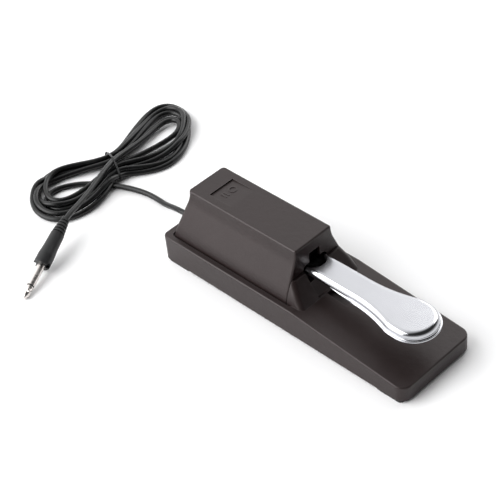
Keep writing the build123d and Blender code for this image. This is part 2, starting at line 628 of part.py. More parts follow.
def microswitch_body():
    """Snap switch case with a parting groove and two screw holes."""
    half = SWITCH_THICKNESS / 2
    reach = SWITCH_LENGTH / 2
    body = block(SWITCH_X - reach, SWITCH_X + reach, -half, half, SWITCH_LOW_Z, SWITCH_TOP_Z)
    body = fillet(body.edges().filter_by(Axis.Y), 0.6)
    groove_z = SWITCH_LOW_Z + 3.4
    body -= block(SWITCH_X - 11, SWITCH_X + 11, -half - 1, -half + 0.3, groove_z, groove_z + 0.4)
    for x, z in switch_screw_places():
        body -= rod_y(x, -5, 5, z, 1.15)
    return body - rod_z(PLUNGER_X, 0, SWITCH_TOP_Z - 2.6, SWITCH_TOP_Z + 1, 1.2)


def microswitch_plunger():
    """The switch's button, held down by the lever's tail at rest."""
    button = rod_z(PLUNGER_X, 0, SWITCH_TOP_Z - 2.4, LEVER_UNDER_Z - 0.05, 1.15)
    return fillet(button.edges().group_by(Axis.Z)[-1], 0.3)


def microswitch_terminals():
    """Three brass solder tabs under the snap switch."""
    middles = (SWITCH_X - 8.0, SWITCH_X - 1.0, SWITCH_X + 6.0)
    return [block(x - 0.25, x + 0.25, -1.4, 1.4, SWITCH_LOW_Z - 3.2, SWITCH_LOW_Z) for x in middles]


def microswitch_screws():
    """Two screws through the snap switch into its mounting wall."""
    screws = []
    for x, z in switch_screw_places():
        screw = screw_up(0, 0, 0, 8.4, 1.0, 2.0, 1.3)
        screws.append(Pos(x, -SWITCH_THICKNESS / 2, z) * Rot(-90, 0, 0) * screw)
    return screws


def polarity_screw_places():
    """Where the slide switch's two screws are along the pedal."""
    return [POLARITY_X - POLARITY_SCREW_X, POLARITY_X + POLARITY_SCREW_X]


def polarity_switch_body():
    """Slide switch on the bottom plate: a metal frame with ears round a moulded block."""
    floor = PLATE_TOP_Z
    body = block(POLARITY_X - 11.5, POLARITY_X + 11.5, -3.0, 3.0, floor, floor + 0.5)
    body += block(POLARITY_X - 6.5, POLARITY_X + 6.5, -3.0, 3.0, floor, floor + 5.5)
    for x in polarity_screw_places():
        body -= rod_z(x, 0, 0, 10, 1.0)
    for x in (POLARITY_X - 3.5, POLARITY_X, POLARITY_X + 3.5):
        body += block(x - 0.4, x + 0.4, -0.25, 0.25, floor + 5.4, floor + 8.5)
    return body - block(POLARITY_X - 4.0, POLARITY_X + 4.0, -1.4, 1.4, 0, floor + 2.5)


def polarity_switch_knob():
    """Small ridged slider that can be moved with a fingertip."""
    x = POLARITY_X - POLARITY_TRAVEL / 2
    knob = block(x - 1.6, x + 1.6, -1.3, 1.3, FOOT_HEIGHT - 1.0, PLATE_TOP_Z + 2.2)
    for shift in (-0.9, 0, 0.9):
        knob -= block(x + shift - 0.2, x + shift + 0.2, -2, 2, 0, FOOT_HEIGHT - 0.7)
    return knob


def polarity_switch_screws():
    """Two small screws that hold the slide switch on the plate."""
    return [screw_up(x, 0, FOOT_HEIGHT, 3.0, 0.95, 1.9, 1.1) for x in polarity_screw_places()]


# ---- cord inside the base ------------------------------------------------------------------------
def cord_strain_relief():
    """Moulded relief through the back wall: a flange each side and a ribbed taper outside."""
    wall = -HALF_LENGTH
    flange, thickness = RELIEF_FLANGE
    thick, thin = RELIEF_RADII
    taper = RELIEF_LENGTH - thickness
    inner = wall + BASE_WALL
    relief = rod_x(wall - thickness, wall, 0, CORD_EXIT_Z, flange)
    relief += rod_x(wall - 0.1, inner, 0, CORD_EXIT_Z, CORD_HOLE_RADIUS - 0.05)
    relief += rod_x(inner, inner + 1.6, 0, CORD_EXIT_Z, flange)
    cone = Pos(wall - thickness - taper / 2, 0, CORD_EXIT_Z) * Rot(0, -90, 0)
    relief += cone * Cone(thick, thin, taper)
    for step in range(RELIEF_RIBS):
        down = 2.0 + step * 2.3
        x = wall - thickness - down
        core = thick - (thick - thin) * down / taper - 0.7
        ring = rod_x(x - 0.45, x + 0.45, 0, CORD_EXIT_Z, 9)
        relief -= ring - rod_x(x - 0.45, x + 0.45, 0, CORD_EXIT_Z, core)
    return relief - rod_x(inner - 1, wall + 10, 0, CORD_EXIT_Z, CORD_RADIUS)


def cord_inner_end():
    """The jacket inside the base, from the relief to past the clamp."""
    return rod_x(-HALF_LENGTH + BASE_WALL - 1, INNER_END_X, 0, CORD_EXIT_Z, CORD_RADIUS - 0.02)


def cord_clamp():
    """Bar that presses the cord against the deck's rib."""
    bar = block(CLAMP_X - 3.5, CLAMP_X + 3.5, -11.5, 11.5, CLAMP_LOW_Z, CLAMP_LOW_Z + 2.0)
    bar = fillet(bar.edges().filter_by(Axis.Z), 1.5)
    for y in (-CLAMP_POST_Y, CLAMP_POST_Y):
        bar += rod_z(CLAMP_X, y, CLAMP_LOW_Z + 1.9, CORD_EXIT_Z + 0.95, 2.6)
        bar -= rod_z(CLAMP_X, y, 0, CORD_EXIT_Z + 2, 1.2)
    return bar


def cord_clamp_screws():
    """Two screws up through the clamp bar."""
    places = (-CLAMP_POST_Y, CLAMP_POST_Y)
    return [screw_up(CLAMP_X, y, CLAMP_LOW_Z, 8.5, 0.95, 2.1, 1.3) for y in places]


def signal_wires():
    """Two insulated cores from the jacket's end up to the snap switch's tabs."""
    wires = []
    for y in (-1.0, 1.0):
        far_y = y * 2.4
        route = [(INNER_END_X, y, CORD_EXIT_Z), (-88.0, y, CORD_EXIT_Z), (-88.0, far_y, 27.0),
                 (SWITCH_X - 8.6, far_y, 27.0)]
        tube = FilletPolyline(*route, radius=4.0)
        section = Plane(origin=tube @ 0, z_dir=tube % 0) * Circle(0.6)
        wires.append(sweep(section, path=tube))
    return wires


# ---- free cord -----------------------------------------------------------------------------------
def bend_radii(route):
    """For each corner of a route, the largest arc that leaves a tenth of its shorter run straight."""
    points = [Vector(*point) for point in route]
    radii = []
    for before, here, after in zip(points, points[1:], points[2:]):
        turn = radians((here - before).get_angle(after - here))
        shorter = min((here - before).length, (after - here).length)
        radii.append(0.45 * shorter / tan(turn / 2))
    return radii


def cord_tube(name, route):
    """A stretch of cord: straight runs joined by tangent arcs."""
    radii = bend_radii(route)
    path = FilletPolyline(*route, radius=radii)
    section = Plane(origin=path @ 0, z_dir=path % 0) * Circle(CORD_RADIUS)
    tube = sweep(section, path=path)
    ideal = pi * CORD_RADIUS ** 2 * path.length
    print(name, "radii", [round(radius, 1) for radius in radii], "length", round(path.length, 1),
          "volume ratio", round(tube.volume / ideal, 4))
    return tube


def on_plug(length):
    """The point on the plug's line at a length from its tip."""
    return tuple(PLUG_TIP[i] + PLUG_LINE[i] * length for i in range(3))


def cord_lead():
    """The cord from the relief down to the floor and under the hank."""
    return cord_tube("cord_lead", LEAD_ROUTE)


def cord_tail():
    """The cord from the plug's relief over the hank's near loops to its tied waist."""
    return cord_tube("cord_tail", [on_plug(PLUG_END)] + TAIL_TURNS)


def lobe(outline, height):
    """One lobe of the hank as a flat shape that encloses all its turns."""
    face = make_face(Spline(*outline, periodic=True))
    return extrude(Pos(0, 0, FLOOR_GAP) * face, height)


def cord_hank():
    """Outer shape of the tied hank: a far lobe, a near lobe and the waist between them."""
    across, along, top = WAIST_SIZE
    waist = block(-across / 2, across / 2, -along / 2, along / 2, FLOOR_GAP, top)
    waist = fillet(waist.edges().filter_by(Axis.Z), 3.0)
    waist = Pos(*HANK_WAIST, 0) * Rot(0, 0, HANK_LEAN) * waist
    return lobe(FAR_LOBE, FAR_HEIGHT) + lobe(NEAR_LOBE, NEAR_HEIGHT) + waist


def cord_tie():
    """Plastic-covered wire tie, one turn round the waist."""
    across = WAIST_SIZE[0] / cos(radians(TIE_LEAN - HANK_LEAN)) + 1.2
    lean = radians(TIE_LEAN)
    plane = Plane(origin=(*HANK_WAIST, 0), x_dir=(cos(lean), sin(lean), 0),
                  z_dir=(sin(lean), -cos(lean), 0))
    low = FLOOR_GAP + TIE_RADIUS
    loop = Pos(0, (low + TIE_TOP_Z) / 2) * RectangleRounded(across, TIE_TOP_Z - low, 5.0)
    path = (plane * loop).wires()[0]
    section = Plane(origin=path @ 0, z_dir=path % 0) * Circle(TIE_RADIUS)
    return sweep(section, path=path)


# ---- plug ----------------------------------------------------------------------------------------
def plug_turned(points):
    """A turned piece of the plug, from its half outline as (radius, length from the tip)."""
    outline = make_face(Plane.XZ * Polyline(*points, close=True))
    turned = revolve(outline, Axis.Z)
    return Plane(origin=PLUG_TIP, z_dir=PLUG_LINE) * turned


def plug_tip():
    """The plug's tip contact with its latch groove and core pin."""
    back, sleeve = PLUG_RING
    pin_end = sleeve + 0.6
    return plug_turned([(0, 0), (1.0, 0.1), (1.7, 0.7), (2.4, 2.2), (2.9, 4.4), (2.85, 5.0), (2.1, 6.7),
                        (2.15, 7.1), (2.75, 7.9), (PLUG_TIP_RADIUS, 8.3), (PLUG_TIP_RADIUS, back),
                        (PLUG_PIN_RADIUS, back), (PLUG_PIN_RADIUS, pin_end), (0, pin_end)])


def plug_insulator():
    """The black ring between tip and sleeve."""
    front, back = PLUG_RING
    return plug_turned([(PLUG_PIN_RADIUS, front), (PLUG_TIP_RADIUS, front), (PLUG_TIP_RADIUS, back),
                        (PLUG_PIN_RADIUS, back)])


def plug_sleeve():
    """The plug's sleeve contact; its narrower root is moulded into the barrel."""
    front = PLUG_RING[1]
    end = PLUG_METAL + PLUG_ROOT
    return plug_turned([(PLUG_PIN_RADIUS, front), (PLUG_SHAFT_RADIUS, front),
                        (PLUG_SHAFT_RADIUS, PLUG_METAL), (PLUG_ROOT_RADIUS, PLUG_METAL),
                        (PLUG_ROOT_RADIUS, end), (0, end), (0, front + 0.6), (PLUG_PIN_RADIUS, front + 0.6)])


def plug_barrel():
    """Moulded barrel with a notched mouth and a ribbed, tapering relief."""
    mouth = PLUG_METAL
    root = mouth + PLUG_ROOT
    back = mouth + PLUG_BARREL
    outline = [(PLUG_ROOT_RADIUS, root), (PLUG_ROOT_RADIUS, mouth), (6.1, mouth), (6.6, mouth + 0.6),
               (6.6, mouth + 9), (5.9, mouth + 18), (5.5, back)]
    for step in range(PLUG_RIBS):
        z = back + step * PLUG_RIB_PITCH
        rib = 5.2 - 0.4 * step
        core = rib - 1.0
        outline += [(core, z), (core, z + 0.9), (rib, z + 1.1), (rib - 0.2, z + PLUG_RIB_PITCH)]
    outline += [(0, PLUG_END), (0, root)]
    notch = Box(20, 5.0, 5.0) - Cylinder(PLUG_SHAFT_RADIUS + 0.6, 5.2)
    place = Plane(origin=PLUG_TIP, x_dir=PLUG_ACROSS, z_dir=PLUG_LINE)
    return plug_turned(outline) - place * Pos(0, 0, mouth) * notch


# ---- output --------------------------------------------------------------------------------------
PIECES = {
    "base_tray": base_tray,
    "bottom_plate": bottom_plate,
    "bottom_plate_screws": bottom_plate_screws,
    "foot_front": lambda: foot_strip(*FOOT_STRIPS[0]),
    "foot_rear": lambda: foot_strip(*FOOT_STRIPS[1]),
    "top_cover": top_cover,
    "cover_screws": cover_screws,
    "pedal_lever": pedal_lever,
    "lever_bushes": lever_bushes,
    "pivot_bracket": pivot_bracket,
    "bracket_screws": bracket_screws,
    "pivot_shaft": pivot_shaft,
    "shaft_clips": shaft_clips,
    "return_spring": return_spring,
    "down_stop_pad": down_stop_pad,
    "up_stop_pads": up_stop_pads,
    "microswitch_body": microswitch_body,
    "microswitch_plunger": microswitch_plunger,
    "microswitch_terminals": microswitch_terminals,
    "microswitch_screws": microswitch_screws,
    "polarity_switch_body": polarity_switch_body,
    "polarity_switch_knob": polarity_switch_knob,
    "polarity_switch_screws": polarity_switch_screws,
    "cord_strain_relief": cord_strain_relief,
    "cord_inner_end": cord_inner_end,
    "cord_clamp": cord_clamp,
    "cord_clamp_screws": cord_clamp_screws,
    "signal_wires": signal_wires,
    "cord_lead": cord_lead,
    "cord_hank": cord_hank,
    "cord_tail": cord_tail,
    "cord_tie": cord_tie,
    "plug_barrel": plug_barrel,
    "plug_sleeve": plug_sleeve,
    "plug_insulator": plug_insulator,
    "plug_tip": plug_tip,
}


def main():
    """Write one STEP file for each piece."""
    os.makedirs("parts", exist_ok=True)
    for name, make in PIECES.items():
        made = make()
        solids = made if isinstance(made, list) else made.solids()
        shape = Compound(children=list(solids)) if len(solids) > 1 else solids[0]
        export_step(shape, f"parts/{name}.step")


main()
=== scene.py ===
import json
from math import cos, pi, radians, sin

import bpy
import numpy as np
from mathutils import Matrix, Vector


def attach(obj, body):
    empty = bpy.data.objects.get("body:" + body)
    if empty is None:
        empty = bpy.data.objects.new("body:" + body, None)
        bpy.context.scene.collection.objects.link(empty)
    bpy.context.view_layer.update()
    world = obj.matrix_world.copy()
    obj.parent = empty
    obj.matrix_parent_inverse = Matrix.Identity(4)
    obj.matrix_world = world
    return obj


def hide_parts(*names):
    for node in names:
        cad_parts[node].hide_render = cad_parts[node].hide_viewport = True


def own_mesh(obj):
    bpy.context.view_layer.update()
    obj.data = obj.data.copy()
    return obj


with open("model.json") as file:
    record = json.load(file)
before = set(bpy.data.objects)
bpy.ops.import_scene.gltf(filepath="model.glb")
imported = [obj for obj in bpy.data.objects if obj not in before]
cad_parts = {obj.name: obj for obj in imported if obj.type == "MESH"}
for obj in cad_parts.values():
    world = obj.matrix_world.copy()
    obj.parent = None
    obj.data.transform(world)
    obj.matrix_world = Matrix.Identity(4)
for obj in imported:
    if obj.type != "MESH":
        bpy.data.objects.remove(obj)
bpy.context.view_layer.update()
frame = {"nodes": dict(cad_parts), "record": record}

MM = 0.001
SCENE = bpy.context.scene
NODES = frame["nodes"]

# ---- camera: metres and degrees, its lens and sensor in millimetres ------------------------------
CAMERA_PLACE = Vector((0.58065, -0.56035, 0.76225))
CAMERA_AIM = Vector((-0.07571, 0.01123, 0.0))
CAMERA_ROLL = -6.4632
CAMERA_LENS = 107.9
CAMERA_SENSOR = 36.0

# ---- cord, in millimetres ------------------------------------------------------------------------
CORD_DIAMETER = 4.5
CORD_EXIT = (-135.0, 0.0, 13.0)
LEAD_ROUTE = [CORD_EXIT, (-142.5, 0.2, 12.4), (-150.5, 1.6, 9.6), (-158.5, 3.4, 5.9), (-166.5, 5.0, 3.2),
              (-175.0, 6.0, 2.35), (-184.5, 5.9, 2.32), (-194.5, 4.2, 2.3), (-204.5, 1.0, 2.3),
              (-214.0, -3.0, 2.3)]
TAIL_TURNS = [(-201.6, -61.5, 18.4), (-206.5, -48.5, 16.8), (-213.5, -32.0, 15.2), (-221.3, -15.5, 14.2),
              (-228.0, -1.0, 13.4)]
PLUG_TIP = Vector((-168.8, -138.6, 2.1))
PLUG_LINE = Vector((-0.386, 0.899, 0.205))       # from the tip towards the cord
PLUG_END = 77.5
TAIL_ROUTE = [tuple(PLUG_TIP + PLUG_LINE * PLUG_END)] + TAIL_TURNS     # from the plug to the waist

# ---- hank, in millimetres, as laid out -----------------------------------------------------------
LOW, HIGH = 2.3, 6.8                 # a strand's middle on the floor, and on top of another strand
LEAD_IN = [(-224, -8.5, LOW), (-234, -14.5, LOW), (-242, -21, LOW), (-248, -30, LOW)]
LEAD_STATION = 3                     # where the lead joins the near lobe
# Each station across a lobe: where the outermost and the innermost strand cross it.
FAR_STATIONS = [((-212, 21), (-229.5, 32)), ((-201.5, 36), (-227.5, 44)), ((-200, 52), (-226, 56)),
                ((-207, 70), (-225, 67)), ((-220, 85), (-224.5, 77)), ((-237, 99), (-230.5, 87.5)),
                ((-253, 104), (-240, 90.5)), ((-266.5, 101.5), (-247.5, 84.5)),
                ((-271, 89.5), (-246.5, 72)), ((-266, 71), (-242, 56)), ((-259, 54), (-240, 43)),
                ((-251.5, 38), (-238.5, 32))]
NEAR_STATIONS = [((-256, -3), (-246, -6)), ((-265, -13), (-249.5, -18)), ((-272.5, -24), (-251, -29)),
                 ((-275, -37), (-250, -40)), ((-269, -51), (-244.5, -49)), ((-256, -63), (-239, -54)),
                 ((-240, -69), (-231.5, -51.5)), ((-224, -68), (-229, -42)), ((-213, -59), (-228, -33)),
                 ((-209.5, -45), (-228.5, -24)), ((-209.5, -30), (-229.5, -15)),
                 ((-212.5, -15), (-230.5, -6))]
# Each turn of a lobe: its place between outermost (0) and innermost (1) where it enters the lobe, at
# the lobe's end and where it leaves, and its height there. TURN_SHARES says how far round those are.
TURN_SHARES = (0.15, 0.5, 0.85)
FAR_TURNS = [((0.12, 0.75, 0.80), (LOW, LOW, LOW)), ((0.0, 0.35, 0.48), (LOW, LOW, LOW)),
             ((0.45, 0.0, 0.0), (HIGH, HIGH, LOW)), ((0.62, 0.2, 0.27), (7, 7, LOW)),
             ((1.0, 1.0, 1.0), (7, 9, 7))]
NEAR_TURNS = [((1.0, 0.55, 0.50), (LOW, LOW, LOW)), ((0.62, 0.15, 0.25), (LOW, HIGH, HIGH)),
              ((0.40, 0.0, 0.0), (LOW, HIGH, HIGH)), ((0.0, 0.45, 0.78), (LOW, LOW, HIGH)),
              ((0.15, 1.0, 1.0), (HIGH, 11, 9))]
WAIST = (-234.5, 11.0)
WAIST_LEAN = -8.0                    # degrees
WAIST_PITCH = 2.6                    # between neighbouring strands
WAIST_LAYERS = (3.9, 7.9)            # the heights of every other one
LAST_IN_WAIST = (0.2, 11.8)          # the last strand lies in the middle, on top of the others

# ---- settling of the hank, in millimetres and shares of a move per step --------------------------
SETTLE_STEPS = 80
SETTLE_ROUNDS = 4                    # of restoring lengths and gaps, in each step
SETTLE_GAP = 4.0                     # between the line's points
SMOOTH_STEPS = 20                    # between two points of the layout, as it is made smooth
SETTLE_ENDS = 4                      # points at each end that stay put
SETTLE_NEAR = 4                      # points along the line that may be closer than a diameter
SETTLE_BEND = (0.35, 0.175)          # towards the middle of the neighbours, and of the next but one
SETTLE_SINK = 0.05                   # downwards
SETTLE_HOME = 0.2                    # back to the place where the point was laid
SETTLE_HELD = (0.4, 0.5)             # more of that in the waist: over the floor, and in height
SETTLE_PULL = 0.25                   # of each end, towards the right length between points
HELD_REACH = 0.6                     # how far the waist's hold reaches, in points of the layout
FLOOR_GAP = 0.03                     # under the cord

# ---- tie, in millimetres and degrees -------------------------------------------------------------
TIE_RADIUS = 0.8
TIE_LEAN = -23.0
TIE_POINTS = 32
TIE_SQUEEZE = 0.1                    # how far the wire sinks into the jacket
TIE_SPAN = 20                        # strands within this distance of the waist are tied
TIE_LIFT = 0.1                       # under the wire
TIE_TWIST = (0.8, 1.3)               # radius of the twisted ends, and radians per millimetre
TIE_ENDS = (-0.8, 5.5)               # where the twisted ends start and stop, from the strands
TIE_END_POINTS = 16
TIE_END_SLOPE = (-0.75, -0.1)        # their way across the waist and upwards, per millimetre
TIE_END_RISE = 0.4                   # above the outermost strand's middle

# ---- return spring, in millimetres ---------------------------------------------------------------
SPRING_X = -16.0
SPRING_RADIUS = 4.0
SPRING_WIRE = 1.0
SPRING_TURNS = 7
SPRING_TURN_POINTS = 24
SPRING_ENDS = (27.6, 39.35)          # heights of the wire's middle at the two ends
SPRING_CLOSED = 0.11                 # how much flatter the turns are at the ends

# ---- floor and light, in metres and watts --------------------------------------------------------
FLOOR_HALF = 4.0
LIGHT_AIM = (-0.05, 0, 0.03)
LIGHTS = [("key", (-1.1, -1.9, 1.4), 2.8, 94.0), ("fill", (-0.3, 2.0, 1.2), 1.6, 24.0)]
BACKDROP_WAY = (-0.90, -0.05, 0.20)  # where the world is brightest


def show(name, data):
    """A new object in the scene."""
    item = bpy.data.objects.new(name, data)
    SCENE.collection.objects.link(item)
    return item


def aimed(place, aim):
    """The turn of a camera or a light that looks from a place at an aim."""
    return (Vector(aim) - Vector(place)).to_track_quat("-Z", "Y")


def make_camera():
    """The main view, which looks down on the pedal from its front."""
    camera = show("camera", bpy.data.cameras.new("camera"))
    level = aimed(CAMERA_PLACE, CAMERA_AIM).to_matrix().to_4x4()
    roll = Matrix.Rotation(radians(CAMERA_ROLL), 4, "Z")
    camera.matrix_world = Matrix.Translation(CAMERA_PLACE) @ level @ roll
    camera.data.lens = CAMERA_LENS
    camera.data.sensor_width = CAMERA_SENSOR
    camera.data.clip_start = 0.05
    camera.data.clip_end = 20.0
    SCENE.camera = camera


# ---- node tree helpers ---------------------------------------------------------------------------
# Socket numbers of a mix node, by kind of data: the factor, the two values and the output.
MIX_SOCKETS = {"RGBA": (0, 6, 7, 2), "FLOAT": (0, 2, 3, 0)}


class Nodes:
    """A node tree under construction."""

    def __init__(self, tree):
        self.tree = tree

    def node(self, kind, **settings):
        """A new node with some of its settings changed."""
        made = self.tree.nodes.new(kind)
        for name, value in settings.items():
            setattr(made, name, value)
        return made

    def set(self, node, socket, value):
        """Sets a socket's own value."""
        node.inputs[socket].default_value = value

    def link(self, source, node, socket):
        """Links an output to a socket."""
        self.tree.links.new(source, node.inputs[socket])

    def feed(self, source, node, socket):
        """Links an output to a socket, or gives the socket a number or a colour."""
        if isinstance(source, bpy.types.NodeSocket):
            self.link(source, node, socket)
        else:
            self.set(node, socket, source if isinstance(source, float) else (*source, 1.0))

    def span(self, source, start, end, low, high, **settings):
        """A value that runs from low to high while the source goes from start to end."""
        spread = self.node("ShaderNodeMapRange", **settings)
        for socket, value in (("From Min", start), ("From Max", end), ("To Min", low), ("To Max", high)):
            self.set(spread, socket, value)
        self.link(source, spread, "Value")
        return spread.outputs["Result"]

    def mix(self, factor, first, second, data_type="RGBA", **settings):
        """Mixes two values; each of the three may be an output or a plain value."""
        mix = self.node("ShaderNodeMix", data_type=data_type, **settings)
        *inputs, output = MIX_SOCKETS[data_type]
        for socket, source in zip(inputs, (factor, first, second)):
            self.feed(source, mix, socket)
        return mix.outputs[output]


class Paint(Nodes):
    """A material under construction, with its main shader."""

    def __init__(self, name, colour, roughness, metallic=0.0, **sockets):
        self.material = bpy.data.materials.new(name)
        self.material.use_nodes = True
        super().__init__(self.material.node_tree)
        self.shader = self.tree.nodes["Principled BSDF"]
        self.set(self.shader, "Base Color", (*colour, 1.0))
        self.set(self.shader, "Roughness", roughness)
        self.set(self.shader, "Metallic", metallic)
        for socket, value in sockets.items():
            self.set(self.shader, socket.replace("_", " "), value)
        self.place = self.node("ShaderNodeTexCoord").outputs["Object"]

    def noise(self, size, detail=3.0, rough=0.5, stretch=None):
        """Noise whose lumps are about size metres across; stretch scales the coordinates."""
        place = self.place
        if stretch:
            mapping = self.node("ShaderNodeMapping")
            self.set(mapping, "Scale", stretch)
            self.link(place, mapping, "Vector")
            place = mapping.outputs["Vector"]
        noise = self.node("ShaderNodeTexNoise")
        self.set(noise, "Scale", 1.0 / size)
        self.set(noise, "Detail", detail)
        self.set(noise, "Roughness", rough)
        self.link(place, noise, "Vector")
        return noise.outputs["Fac"]

    def ramp(self, source, stops):
        """A colour ramp; each stop is a place and a colour, or a place and a grey."""
        ramp = self.node("ShaderNodeValToRGB")
        elements = ramp.color_ramp.elements
        while len(elements) < len(stops):
            elements.new(0.5)
        for element, (place, colour) in zip(elements, stops):
            element.position = place
            grey = isinstance(colour, (int, float))
            element.color = (colour, colour, colour, 1.0) if grey else (*colour, 1.0)
        self.link(source, ramp, "Fac")
        return ramp.outputs["Color"]

    def rough_range(self, source, low, high):
        """The shader's roughness runs from low to high over the source's middle range."""
        self.link(self.span(source, 0.3, 0.7, low, high), self.shader, "Roughness")

    def edges(self, radius):
        """0 on flat faces, rising to 1 on edges and corners within radius."""
        bevel = self.node("ShaderNodeBevel", samples=4)
        self.set(bevel, "Radius", radius)
        plain = self.node("ShaderNodeNewGeometry").outputs["Normal"]
        dot = self.node("ShaderNodeVectorMath", operation="DOT_PRODUCT")
        self.link(bevel.outputs["Normal"], dot, 0)
        self.link(plain, dot, 1)
        return self.span(dot.outputs["Value"], 0.995, 0.90, 0.0, 1.0)

    def colour(self, source):
        """The shader's colour comes from this output."""
        self.link(source, self.shader, "Base Color")

    def bump(self, *layers):
        """Stacked bumps; each layer is a height output and a depth in metres."""
        normal = None
        for height, depth in layers:
            bump = self.node("ShaderNodeBump")
            self.set(bump, "Strength", 1.0)
            self.set(bump, "Distance", depth)
            self.link(height, bump, "Height")
            if normal is not None:
                self.link(normal, bump, "Normal")
            normal = bump.outputs["Normal"]
        self.link(normal, self.shader, "Normal")


# ---- materials -----------------------------------------------------------------------------------
# Each maker takes its roughness as a range, and the size and depth of its surface in metres.
def toned(colour, share):
    """A colour made darker or lighter."""
    return tuple(part * share for part in colour)


def moulded(name, low, high, edge_highlight, grain, depth, rough):
    """Textured moulded plastic: spark-eroded grain, slow colour drift, and edges painted paler as a
    highlight.
    """
    paint = Paint(name, high, rough[0], Specular_IOR_Level=0.44, Specular_Tint=(1.0, 0.93, 0.93, 1.0))
    drift = paint.noise(0.045, detail=4.0)
    fine = paint.noise(grain, detail=2.0, rough=0.6)
    body = paint.ramp(drift, [(0.35, low), (0.65, high)])
    speck = paint.ramp(fine, [(0.35, 0.86), (0.70, 1.0)])
    speckled = paint.mix(0.6, body, speck, blend_type="MULTIPLY")
    # painted highlight: edges and corners take a paler colour, as if light caught them
    paint.colour(paint.mix(paint.edges(0.0009), speckled, edge_highlight))
    paint.rough_range(drift, *rough)
    paint.bump((fine, depth), (paint.noise(grain * 7, detail=2.0), depth * 1.5))
    return paint.material


def cloudy(name, colour, rough, grain, depth, **sockets):
    """Rubber, PVC, nylon or felt: one colour with paler clouds and an uneven sheen."""
    paint = Paint(name, colour, rough[0], **sockets)
    cloud = paint.noise(0.011, detail=5.0, rough=0.6)
    light = tuple(min(1.0, part * 1.45 + 0.002) for part in colour)
    paint.colour(paint.ramp(cloud, [(0.35, colour), (0.68, light)]))
    paint.rough_range(cloud, *rough)
    paint.bump((paint.noise(grain, detail=3.0), depth))
    return paint.material


def bright_metal(name, colour, rough, haze, depth, stretch=None):
    """Plated or polished metal with faint haze and a slightly uneven surface."""
    paint = Paint(name, colour, rough[0], metallic=1.0)
    smear = paint.noise(haze, detail=4.0, stretch=stretch)
    paint.colour(paint.ramp(smear, [(0.30, toned(colour, 0.93)), (0.60, colour)]))
    paint.rough_range(smear, *rough)
    paint.bump((paint.noise(haze * 1.5, detail=1.0), depth))
    return paint.material


def plated(name, colour, rough, satin, haze):
    """Chrome over a brushed top: level faces are satin, rolled edges are polished."""
    paint = Paint(name, colour, satin, metallic=1.0)
    smear = paint.noise(haze, detail=4.0)
    paint.colour(paint.ramp(smear, [(0.30, toned(colour, 0.96)), (0.60, colour)]))
    normal = paint.node("ShaderNodeTexCoord").outputs["Normal"]
    apart = paint.node("ShaderNodeSeparateXYZ")
    paint.link(normal, apart, "Vector")
    level = paint.span(apart.outputs["Z"], 0.90, 0.985, 0.0, 1.0, interpolation_type="SMOOTHSTEP")
    polish = paint.span(smear, 0.3, 0.7, *rough)
    paint.link(paint.mix(level, polish, satin, data_type="FLOAT"), paint.shader, "Roughness")
    return paint.material


def powder_coat(name, colour):
    """Black powder coat with its orange-peel surface."""
    paint = Paint(name, colour, 0.45)
    peel = paint.noise(0.0012, detail=2.0)
    paint.colour(paint.ramp(paint.noise(0.03), [(0.3, colour), (0.7, toned(colour, 1.4))]))
    paint.rough_range(peel, 0.38, 0.55)
    paint.bump((peel, 0.00006))
    return paint.material


def make_materials():
    """One material for each of the record's slots."""
    return {
        # the third colour of body_plastic is the paler colour of its painted edge highlight
        "body_plastic": moulded("body_plastic", (0.0105, 0.0052, 0.0050), (0.0135, 0.0072, 0.0070),
                                (0.045, 0.038, 0.037), 0.00055, 0.00006, (0.36, 0.44)),
        "rubber_feet": cloudy("rubber_feet", (0.018, 0.018, 0.018), (0.75, 0.9), 0.0006, 0.00005),
        "steel_plate": powder_coat("steel_plate", (0.028, 0.028, 0.029)),
        "zinc_screw": bright_metal("zinc_screw", (0.60, 0.60, 0.58), (0.28, 0.42), 0.0015, 0.00001),
        "chrome": plated("chrome", (0.50, 0.505, 0.53), (0.10, 0.15), 0.25, 0.018),
        "nylon": cloudy("nylon", (0.62, 0.60, 0.54), (0.35, 0.5), 0.0008, 0.00002),
        "ground_steel": bright_metal("ground_steel", (0.56, 0.56, 0.57), (0.2, 0.32), 0.002, 0.00001,
                                     (6.0, 1.0, 6.0)),
        "felt": cloudy("felt", (0.035, 0.035, 0.04), (0.9, 1.0), 0.0003, 0.0002, Sheen_Weight=0.4),
        "switch_black": cloudy("switch_black", (0.016, 0.016, 0.017), (0.3, 0.42), 0.0007, 0.00002),
        "switch_red": cloudy("switch_red", (0.42, 0.03, 0.02), (0.3, 0.4), 0.0006, 0.00002),
        "brass": bright_metal("brass", (0.78, 0.58, 0.25), (0.2, 0.35), 0.0015, 0.00001),
        "wire": cloudy("wire", (0.36, 0.03, 0.02), (0.35, 0.5), 0.0008, 0.00002),
        "cord_pvc": cloudy("cord_pvc", (0.0035, 0.0036, 0.0038), (0.24, 0.33), 0.0007, 0.00002,
                           Specular_IOR_Level=0.34),
        "tie_black": cloudy("tie_black", (0.005, 0.005, 0.0055), (0.32, 0.45), 0.0006, 0.00003,
                            Specular_IOR_Level=0.35),
        "plug_black": cloudy("plug_black", (0.0065, 0.0068, 0.0074), (0.38, 0.50), 0.0005, 0.00005,
                             Specular_IOR_Level=0.40),
        "nickel": bright_metal("nickel", (0.78, 0.74, 0.71), (0.24, 0.32), 0.004, 0.00001),
    }


def paint_nodes(made):
    """Every CAD node gets its slot's material."""
    for part in frame["record"]["subparts"]:
        data = NODES[part["node"]].data
        data.materials.clear()
        data.materials.append(made[part["material_slot"]])


# ---- hank ----------------------------------------------------------------------------------------
def between(values, count):
    """A turn's three values, spread over a lobe's stations."""
    return np.interp(np.linspace(0, 1, count), TURN_SHARES, values)


def lobe_points(stations, turn):
    """One turn's points round a lobe."""
    shares = between(turn[0], len(stations))
    heights = between(turn[1], len(stations))
    return [(outer[0] + share * (inner[0] - outer[0]), outer[1] + share * (inner[1] - outer[1]), height)
            for (outer, inner), share, height in zip(stations, shares, heights)]


